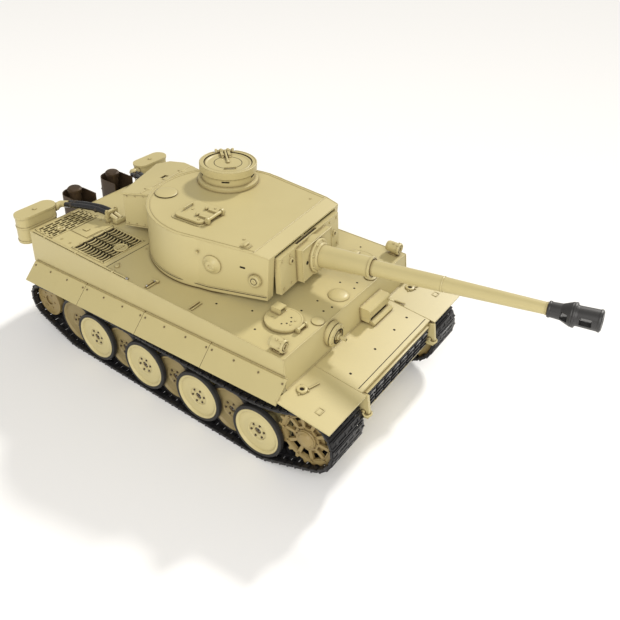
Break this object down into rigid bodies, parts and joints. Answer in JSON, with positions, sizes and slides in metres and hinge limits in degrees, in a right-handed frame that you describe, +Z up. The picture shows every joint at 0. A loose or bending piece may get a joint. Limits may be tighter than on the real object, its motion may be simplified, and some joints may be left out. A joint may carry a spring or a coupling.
{
  "type": "radio-controlled model tank",
  "caption": "Radio-controlled scale heavy tank with driven tracks on sprung interleaved wheels, a turning turret, an elevating recoiling gun and opening hatches.",
  "frame": {"origin": "on the ground under the middle of the overall box", "axes": "+X forward along the hull, +Y to the tank's left, +Z up"},
  "size_m": [0.5195, 0.2304, 0.1801],
  "materials": {
    "sand_paint": "semi-matt sand paint",
    "sprocket_tan": "matt tan",
    "wheel_paint": "matt sand paint on the discs, black tyres",
    "track_black": "glossy black",
    "hose_black": "glossy black",
    "brake_black": "satin black",
    "exhaust_bronze": "dark bronze",
    "arm_metal": "satin metal",
    "cell_wrap": "shrink-wrapped cells",
    "board_green": "printed circuit board",
    "motor_metal": "satin metal"
  },
  "bodies": {
    "hull": {"lower_hull": "sand_paint", "upper_hull": "sand_paint", "fenders": "sand_paint", "engine_grilles": "sand_paint", "exhausts": "exhaust_bronze", "air_cleaners": "sand_paint", "air_hoses": "hose_black", "headlights": "sand_paint", "battery": "cell_wrap", "circuit_board": "board_green", "drive_motors": "motor_metal", "track_right": "track_black", "track_left": "track_black"},
    "turret": {"turret_shell": "sand_paint", "cupola": "sand_paint", "stowage_bin": "sand_paint"},
    "gun": {"mantlet": "sand_paint"},
    "barrel": {"gun_barrel": "sand_paint", "muzzle_brake": "brake_black"},
    "cupola_hatch": {"cupola_hatch": "sand_paint"},
    "loader_hatch": {"loader_hatch": "sand_paint"},
    "radio_hatch": {"radio_hatch": "sand_paint"},
    "driver_hatch": {"driver_hatch": "sand_paint"},
    "bow_gun": {"bow_gun": "sand_paint"},
    "sprocket_right": {"sprocket_right": "sprocket_tan"},
    "idler_right": {"idler_right": "sprocket_tan"},
    "swing_arm_right_1": {"swing_arm_right_1": "arm_metal"},
    "road_wheel_right_1": {"road_wheel_right_1": "wheel_paint"},
    "swing_arm_right_2": {"swing_arm_right_2": "arm_metal"},
    "road_wheel_right_2": {"road_wheel_right_2": "wheel_paint"},
    "swing_arm_right_3": {"swing_arm_right_3": "arm_metal"},
    "road_wheel_right_3": {"road_wheel_right_3": "wheel_paint"},
    "swing_arm_right_4": {"swing_arm_right_4": "arm_metal"},
    "road_wheel_right_4": {"road_wheel_right_4": "wheel_paint"},
    "swing_arm_right_5": {"swing_arm_right_5": "arm_metal"},
    "road_wheel_right_5": {"road_wheel_right_5": "wheel_paint"},
    "swing_arm_right_6": {"swing_arm_right_6": "arm_metal"},
    "road_wheel_right_6": {"road_wheel_right_6": "wheel_paint"},
    "swing_arm_right_7": {"swing_arm_right_7": "arm_metal"},
    "road_wheel_right_7": {"road_wheel_right_7": "wheel_paint"},
    "swing_arm_right_8": {"swing_arm_right_8": "arm_metal"},
    "road_wheel_right_8": {"road_wheel_right_8": "wheel_paint"},
    "sprocket_left": {"sprocket_left": "sprocket_tan"},
    "idler_left": {"idler_left": "sprocket_tan"},
    "swing_arm_left_1": {"swing_arm_left_1": "arm_metal"},
    "road_wheel_left_1": {"road_wheel_left_1": "wheel_paint"},
    "swing_arm_left_2": {"swing_arm_left_2": "arm_metal"},
    "road_wheel_left_2": {"road_wheel_left_2": "wheel_paint"},
    "swing_arm_left_3": {"swing_arm_left_3": "arm_metal"},
    "road_wheel_left_3": {"road_wheel_left_3": "wheel_paint"},
    "swing_arm_left_4": {"swing_arm_left_4": "arm_metal"},
    "road_wheel_left_4": {"road_wheel_left_4": "wheel_paint"},
    "swing_arm_left_5": {"swing_arm_left_5": "arm_metal"},
    "road_wheel_left_5": {"road_wheel_left_5": "wheel_paint"},
    "swing_arm_left_6": {"swing_arm_left_6": "arm_metal"},
    "road_wheel_left_6": {"road_wheel_left_6": "wheel_paint"},
    "swing_arm_left_7": {"swing_arm_left_7": "arm_metal"},
    "road_wheel_left_7": {"road_wheel_left_7": "wheel_paint"},
    "swing_arm_left_8": {"swing_arm_left_8": "arm_metal"},
    "road_wheel_left_8": {"road_wheel_left_8": "wheel_paint"}
  },
  "joints": [
    {"name": "turret_yaw", "type": "hinge", "parent": "hull", "child": "turret", "pos_m": [-0.058, 0, 0.1085], "axis": [0, 0, 1], "range_deg": [-120, 150]},
    {"name": "gun_elevation", "type": "hinge", "parent": "turret", "child": "gun", "pos_m": [0.01579, 0.00555, 0.1323], "axis": [0.075, -0.9972, 0], "range_deg": [-6.5, 8.5]},
    {"name": "barrel_recoil", "type": "slide", "parent": "gun", "child": "barrel", "axis": [-0.9908, -0.0745, -0.1132], "range_m": [0, 0.01], "stiffness_N_per_m": 120, "springref_m": -0.012},
    {"name": "cupola_hatch_hinge", "type": "hinge", "parent": "turret", "child": "cupola_hatch", "pos_m": [-0.10373, 0.0512, 0.1769], "axis": [-0.6652, -0.7466, 0], "range_deg": [0, 90]},
    {"name": "loader_hatch_hinge", "type": "hinge", "parent": "turret", "child": "loader_hatch", "pos_m": [-0.04325, -0.03349, 0.1618], "axis": [-0.075, 0.9972, 0], "range_deg": [0, 100]},
    {"name": "radio_hatch_hinge", "type": "hinge", "parent": "hull", "child": "radio_hatch", "pos_m": [0.0685, -0.059, 0.1114], "axis": [0, 1, 0], "range_deg": [0, 90]},
    {"name": "driver_hatch_hinge", "type": "hinge", "parent": "hull", "child": "driver_hatch", "pos_m": [0.0685, 0.059, 0.1114], "axis": [0, 1, 0], "range_deg": [0, 90]},
    {"name": "bow_gun_swivel", "type": "hinge", "parent": "hull", "child": "bow_gun", "pos_m": [0.0825, -0.033, 0.0955], "axis": [0, 0, 1], "range_deg": [-10, 10]},
    {"name": "sprocket_right_spin", "type": "hinge", "parent": "hull", "child": "sprocket_right", "pos_m": [0.1075, -0.085, 0.0473], "axis": [0, 1, 0], "continuous": true},
    {"name": "idler_right_spin", "type": "hinge", "parent": "hull", "child": "idler_right", "pos_m": [-0.208, -0.085, 0.036], "axis": [0, 1, 0], "continuous": true},
    {"name": "swing_arm_right_1_pivot", "type": "hinge", "parent": "hull", "child": "swing_arm_right_1", "pos_m": [0.0823, -0.062, 0.037], "axis": [0, 1, 0], "range_deg": [0, 8], "stiffness_Nm_per_rad": 0.08, "springref_deg": -20.05},
    {"name": "road_wheel_right_1_spin", "type": "hinge", "parent": "swing_arm_right_1", "child": "road_wheel_right_1", "pos_m": [0.0623, -0.085, 0.029], "axis": [0, 1, 0], "continuous": true},
    {"name": "swing_arm_right_2_pivot", "type": "hinge", "parent": "hull", "child": "swing_arm_right_2", "pos_m": [0.04985, -0.062, 0.037], "axis": [0, 1, 0], "range_deg": [0, 8], "stiffness_Nm_per_rad": 0.08, "springref_deg": -20.05},
    {"name": "road_wheel_right_2_spin", "type": "hinge", "parent": "swing_arm_right_2", "child": "road_wheel_right_2", "pos_m": [0.02985, -0.085, 0.029], "axis": [0, 1, 0], "continuous": true},
    {"name": "swing_arm_right_3_pivot", "type": "hinge", "parent": "hull", "child": "swing_arm_right_3", "pos_m": [0.0174, -0.062, 0.037], "axis": [0, 1, 0], "range_deg": [0, 8], "stiffness_Nm_per_rad": 0.08, "springref_deg": -20.05},
    {"name": "road_wheel_right_3_spin", "type": "hinge", "parent": "swing_arm_right_3", "child": "road_wheel_right_3", "pos_m": [-0.0026, -0.085, 0.029], "axis": [0, 1, 0], "continuous": true},
    {"name": "swing_arm_right_4_pivot", "type": "hinge", "parent": "hull", "child": "swing_arm_right_4", "pos_m": [-0.01505, -0.062, 0.037], "axis": [0, 1, 0], "range_deg": [0, 8], "stiffness_Nm_per_rad": 0.08, "springref_deg": -20.05},
    {"name": "road_wheel_right_4_spin", "type": "hinge", "parent": "swing_arm_right_4", "child": "road_wheel_right_4", "pos_m": [-0.03505, -0.085, 0.029], "axis": [0, 1, 0], "continuous": true},
    {"name": "swing_arm_right_5_pivot", "type": "hinge", "parent": "hull", "child": "swing_arm_right_5", "pos_m": [-0.0475, -0.062, 0.037], "axis": [0, 1, 0], "range_deg": [0, 8], "stiffness_Nm_per_rad": 0.08, "springref_deg": -20.05},
    {"name": "road_wheel_right_5_spin", "type": "hinge", "parent": "swing_arm_right_5", "child": "road_wheel_right_5", "pos_m": [-0.0675, -0.085, 0.029], "axis": [0, 1, 0], "continuous": true},
    {"name": "swing_arm_right_6_pivot", "type": "hinge", "parent": "hull", "child": "swing_arm_right_6", "pos_m": [-0.07995, -0.062, 0.037], "axis": [0, 1, 0], "range_deg": [0, 8], "stiffness_Nm_per_rad": 0.08, "springref_deg": -20.05},
    {"name": "road_wheel_right_6_spin", "type": "hinge", "parent": "swing_arm_right_6", "child": "road_wheel_right_6", "pos_m": [-0.09995, -0.085, 0.029], "axis": [0, 1, 0], "continuous": true},
    {"name": "swing_arm_right_7_pivot", "type": "hinge", "parent": "hull", "child": "swing_arm_right_7", "pos_m": [-0.1124, -0.062, 0.037], "axis": [0, 1, 0], "range_deg": [0, 8], "stiffness_Nm_per_rad": 0.08, "springref_deg": -20.05},
    {"name": "road_wheel_right_7_spin", "type": "hinge", "parent": "swing_arm_right_7", "child": "road_wheel_right_7", "pos_m": [-0.1324, -0.085, 0.029], "axis": [0, 1, 0], "continuous": true},
    {"name": "swing_arm_right_8_pivot", "type": "hinge", "parent": "hull", "child": "swing_arm_right_8", "pos_m": [-0.14485, -0.062, 0.037], "axis": [0, 1, 0], "range_deg": [0, 8], "stiffness_Nm_per_rad": 0.08, "springref_deg": -20.05},
    {"name": "road_wheel_right_8_spin", "type": "hinge", "parent": "swing_arm_right_8", "child": "road_wheel_right_8", "pos_m": [-0.16485, -0.085, 0.029], "axis": [0, 1, 0], "continuous": true},
    {"name": "sprocket_left_spin", "type": "hinge", "parent": "hull", "child": "sprocket_left", "pos_m": [0.1075, 0.085, 0.0473], "axis": [0, 1, 0], "continuous": true},
    {"name": "idler_left_spin", "type": "hinge", "parent": "hull", "child": "idler_left", "pos_m": [-0.208, 0.085, 0.036], "axis": [0, 1, 0], "continuous": true},
    {"name": "swing_arm_left_1_pivot", "type": "hinge", "parent": "hull", "child": "swing_arm_left_1", "pos_m": [0.0823, 0.062, 0.037], "axis": [0, 1, 0], "range_deg": [0, 8], "stiffness_Nm_per_rad": 0.08, "springref_deg": -20.05},
    {"name": "road_wheel_left_1_spin", "type": "hinge", "parent": "swing_arm_left_1", "child": "road_wheel_left_1", "pos_m": [0.0623, 0.085, 0.029], "axis": [0, 1, 0], "continuous": true},
    {"name": "swing_arm_left_2_pivot", "type": "hinge", "parent": "hull", "child": "swing_arm_left_2", "pos_m": [0.04985, 0.062, 0.037], "axis": [0, 1, 0], "range_deg": [0, 8], "stiffness_Nm_per_rad": 0.08, "springref_deg": -20.05},
    {"name": "road_wheel_left_2_spin", "type": "hinge", "parent": "swing_arm_left_2", "child": "road_wheel_left_2", "pos_m": [0.02985, 0.085, 0.029], "axis": [0, 1, 0], "continuous": true},
    {"name": "swing_arm_left_3_pivot", "type": "hinge", "parent": "hull", "child": "swing_arm_left_3", "pos_m": [0.0174, 0.062, 0.037], "axis": [0, 1, 0], "range_deg": [0, 8], "stiffness_Nm_per_rad": 0.08, "springref_deg": -20.05},
    {"name": "road_wheel_left_3_spin", "type": "hinge", "parent": "swing_arm_left_3", "child": "road_wheel_left_3", "pos_m": [-0.0026, 0.085, 0.029], "axis": [0, 1, 0], "continuous": true},
    {"name": "swing_arm_left_4_pivot", "type": "hinge", "parent": "hull", "child": "swing_arm_left_4", "pos_m": [-0.01505, 0.062, 0.037], "axis": [0, 1, 0], "range_deg": [0, 8], "stiffness_Nm_per_rad": 0.08, "springref_deg": -20.05},
    {"name": "road_wheel_left_4_spin", "type": "hinge", "parent": "swing_arm_left_4", "child": "road_wheel_left_4", "pos_m": [-0.03505, 0.085, 0.029], "axis": [0, 1, 0], "continuous": true},
    {"name": "swing_arm_left_5_pivot", "type": "hinge", "parent": "hull", "child": "swing_arm_left_5", "pos_m": [-0.0475, 0.062, 0.037], "axis": [0, 1, 0], "range_deg": [0, 8], "stiffness_Nm_per_rad": 0.08, "springref_deg": -20.05},
    {"name": "road_wheel_left_5_spin", "type": "hinge", "parent": "swing_arm_left_5", "child": "road_wheel_left_5", "pos_m": [-0.0675, 0.085, 0.029], "axis": [0, 1, 0], "continuous": true},
    {"name": "swing_arm_left_6_pivot", "type": "hinge", "parent": "hull", "child": "swing_arm_left_6", "pos_m": [-0.07995, 0.062, 0.037], "axis": [0, 1, 0], "range_deg": [0, 8], "stiffness_Nm_per_rad": 0.08, "springref_deg": -20.05},
    {"name": "road_wheel_left_6_spin", "type": "hinge", "parent": "swing_arm_left_6", "child": "road_wheel_left_6", "pos_m": [-0.09995, 0.085, 0.029], "axis": [0, 1, 0], "continuous": true},
    {"name": "swing_arm_left_7_pivot", "type": "hinge", "parent": "hull", "child": "swing_arm_left_7", "pos_m": [-0.1124, 0.062, 0.037], "axis": [0, 1, 0], "range_deg": [0, 8], "stiffness_Nm_per_rad": 0.08, "springref_deg": -20.05},
    {"name": "road_wheel_left_7_spin", "type": "hinge", "parent": "swing_arm_left_7", "child": "road_wheel_left_7", "pos_m": [-0.1324, 0.085, 0.029], "axis": [0, 1, 0], "continuous": true},
    {"name": "swing_arm_left_8_pivot", "type": "hinge", "parent": "hull", "child": "swing_arm_left_8", "pos_m": [-0.14485, 0.062, 0.037], "axis": [0, 1, 0], "range_deg": [0, 8], "stiffness_Nm_per_rad": 0.08, "springref_deg": -20.05},
    {"name": "road_wheel_left_8_spin", "type": "hinge", "parent": "swing_arm_left_8", "child": "road_wheel_left_8", "pos_m": [-0.16485, 0.085, 0.029], "axis": [0, 1, 0], "continuous": true}
  ],
  "couplings": [
    {"joint": "idler_right_spin", "follows": "sprocket_right_spin", "ratio": 1.4167},
    {"joint": "road_wheel_right_1_spin", "follows": "sprocket_right_spin", "ratio": 1.0231},
    {"joint": "road_wheel_right_2_spin", "follows": "sprocket_right_spin", "ratio": 1.0231},
    {"joint": "road_wheel_right_3_spin", "follows": "sprocket_right_spin", "ratio": 1.0231},
    {"joint": "road_wheel_right_4_spin", "follows": "sprocket_right_spin", "ratio": 1.0231},
    {"joint": "road_wheel_right_5_spin", "follows": "sprocket_right_spin", "ratio": 1.0231},
    {"joint": "road_wheel_right_6_spin", "follows": "sprocket_right_spin", "ratio": 1.0231},
    {"joint": "road_wheel_right_7_spin", "follows": "sprocket_right_spin", "ratio": 1.0231},
    {"joint": "road_wheel_right_8_spin", "follows": "sprocket_right_spin", "ratio": 1.0231},
    {"joint": "idler_left_spin", "follows": "sprocket_left_spin", "ratio": 1.4167},
    {"joint": "road_wheel_left_1_spin", "follows": "sprocket_left_spin", "ratio": 1.0231},
    {"joint": "road_wheel_left_2_spin", "follows": "sprocket_left_spin", "ratio": 1.0231},
    {"joint": "road_wheel_left_3_spin", "follows": "sprocket_left_spin", "ratio": 1.0231},
    {"joint": "road_wheel_left_4_spin", "follows": "sprocket_left_spin", "ratio": 1.0231},
    {"joint": "road_wheel_left_5_spin", "follows": "sprocket_left_spin", "ratio": 1.0231},
    {"joint": "road_wheel_left_6_spin", "follows": "sprocket_left_spin", "ratio": 1.0231},
    {"joint": "road_wheel_left_7_spin", "follows": "sprocket_left_spin", "ratio": 1.0231},
    {"joint": "road_wheel_left_8_spin", "follows": "sprocket_left_spin", "ratio": 1.0231}
  ]
}
